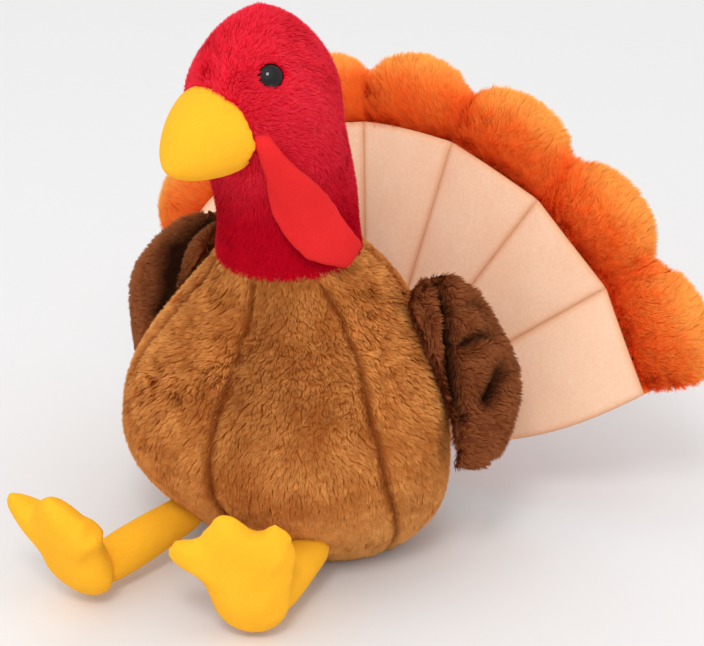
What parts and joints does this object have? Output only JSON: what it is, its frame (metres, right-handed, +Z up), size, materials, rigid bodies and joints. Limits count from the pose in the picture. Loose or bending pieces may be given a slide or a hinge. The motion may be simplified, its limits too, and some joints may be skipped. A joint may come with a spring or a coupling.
{
  "type": "plush turkey figure",
  "caption": "Seated stuffed turkey toy with a gored round body, turning red head, sewn beak and snood, fanned feather tail, cupped wings and soft legs with three-toed feet.",
  "frame": {"origin": "on the flat seat panel under the body's upright axis", "axes": "+Z up through the neck, -Y the way the bird's chest faces, +X its left side"},
  "size_m": [0.311, 0.2416, 0.2449],
  "materials": {
    "caramel_plush": "short curly pile plush, dark at the root and light at the tip",
    "red_plush": "short dense pile plush, brushed",
    "brown_plush": "short curly pile plush",
    "orange_plush": "longer tipped pile plush, lighter at the rim",
    "peach_velour": "smooth short velour",
    "yellow_fleece": "smooth fleece",
    "red_fleece": "smooth fleece",
    "fibre_fill": "loose polyester fibre filling",
    "black_plastic": "polished",
    "white_plastic": "moulded, hidden"
  },
  "bodies": {
    "body": {"body_front_left_panel": "caramel_plush", "body_side_left_panel": "caramel_plush", "body_back_left_panel": "caramel_plush", "body_front_right_panel": "caramel_plush", "body_side_right_panel": "caramel_plush", "body_back_right_panel": "caramel_plush", "body_stuffing": "fibre_fill", "body_seat_panel": "caramel_plush"},
    "head": {"left_eye": "black_plastic", "left_eye_washer": "white_plastic", "right_eye": "black_plastic", "right_eye_washer": "white_plastic", "head_left_panel": "red_plush", "head_right_panel": "red_plush", "head_stuffing": "fibre_fill", "beak_cover": "yellow_fleece", "beak_stuffing": "fibre_fill"},
    "snood": {"snood": "red_fleece"},
    "tail": {"tail_batting": "fibre_fill", "tail_back_panel": "orange_plush", "tail_panel_1": "peach_velour", "tail_lobe_1": "orange_plush", "tail_panel_2": "peach_velour", "tail_lobe_2": "orange_plush", "tail_panel_3": "peach_velour", "tail_lobe_3": "orange_plush", "tail_panel_4": "peach_velour", "tail_lobe_4": "orange_plush", "tail_panel_5": "peach_velour", "tail_lobe_5": "orange_plush", "tail_panel_6": "peach_velour", "tail_lobe_6": "orange_plush", "tail_panel_7": "peach_velour", "tail_lobe_7": "orange_plush"},
    "left_wing": {"left_wing_back": "brown_plush", "left_wing_front": "brown_plush", "left_wing_batting": "fibre_fill"},
    "right_wing": {"right_wing_back": "brown_plush", "right_wing_front": "brown_plush", "right_wing_batting": "fibre_fill"},
    "left_leg": {"left_leg": "yellow_fleece", "left_leg_stuffing": "fibre_fill"},
    "left_foot": {"left_foot_sole": "yellow_fleece", "left_foot_upper": "yellow_fleece", "left_foot_stuffing": "fibre_fill"},
    "right_leg": {"right_leg": "yellow_fleece", "right_leg_stuffing": "fibre_fill"},
    "right_foot": {"right_foot_sole": "yellow_fleece", "right_foot_upper": "yellow_fleece", "right_foot_stuffing": "fibre_fill"}
  },
  "joints": [
    {"name": "neck_turn", "type": "hinge", "parent": "body", "child": "head", "pos_m": [0, 0, 0.137], "axis": [0, 0, 1], "range_deg": [-40, 40]},
    {"name": "snood_lift", "type": "hinge", "parent": "head", "child": "snood", "pos_m": [0.01504, -0.03749, 0.2], "axis": [-0.7526, -0.6585, 0], "range_deg": [0, 70]},
    {"name": "tail_lean", "type": "hinge", "parent": "body", "child": "tail", "pos_m": [-0.00269, 0.05133, 0.02714], "axis": [-0.993, 0.1184, 0], "range_deg": [0, 30]},
    {"name": "left_wing_flap", "type": "hinge", "parent": "body", "child": "left_wing", "pos_m": [0.06452, 0.00569, 0.10026], "axis": [0.5154, -0.133, -0.8466], "range_deg": [-8, 60]},
    {"name": "right_wing_flap", "type": "hinge", "parent": "body", "child": "right_wing", "pos_m": [-0.06452, 0.00569, 0.10026], "axis": [0.5154, 0.133, 0.8466], "range_deg": [-8, 60]},
    {"name": "left_hip_swing", "type": "hinge", "parent": "body", "child": "left_leg", "pos_m": [0.03274, -0.04754, 0.01788], "axis": [-1, -0.003, 0], "range_deg": [-30, 15]},
    {"name": "right_hip_swing", "type": "hinge", "parent": "body", "child": "right_leg", "pos_m": [-0.03274, -0.04754, 0.01788], "axis": [-0.9689, 0.2476, 0], "range_deg": [-30, 15]},
    {"name": "left_ankle_bend", "type": "hinge", "parent": "left_leg", "child": "left_foot", "pos_m": [0.03284, -0.08094, 0.0118], "axis": [0.8778, 0.3796, 0.2922], "range_deg": [-8, 36]},
    {"name": "right_ankle_bend", "type": "hinge", "parent": "right_leg", "child": "right_foot", "pos_m": [-0.04434, -0.09294, 0.0118], "axis": [0.9932, -0.1057, 0.0489], "range_deg": [-8, 36]}
  ]
}
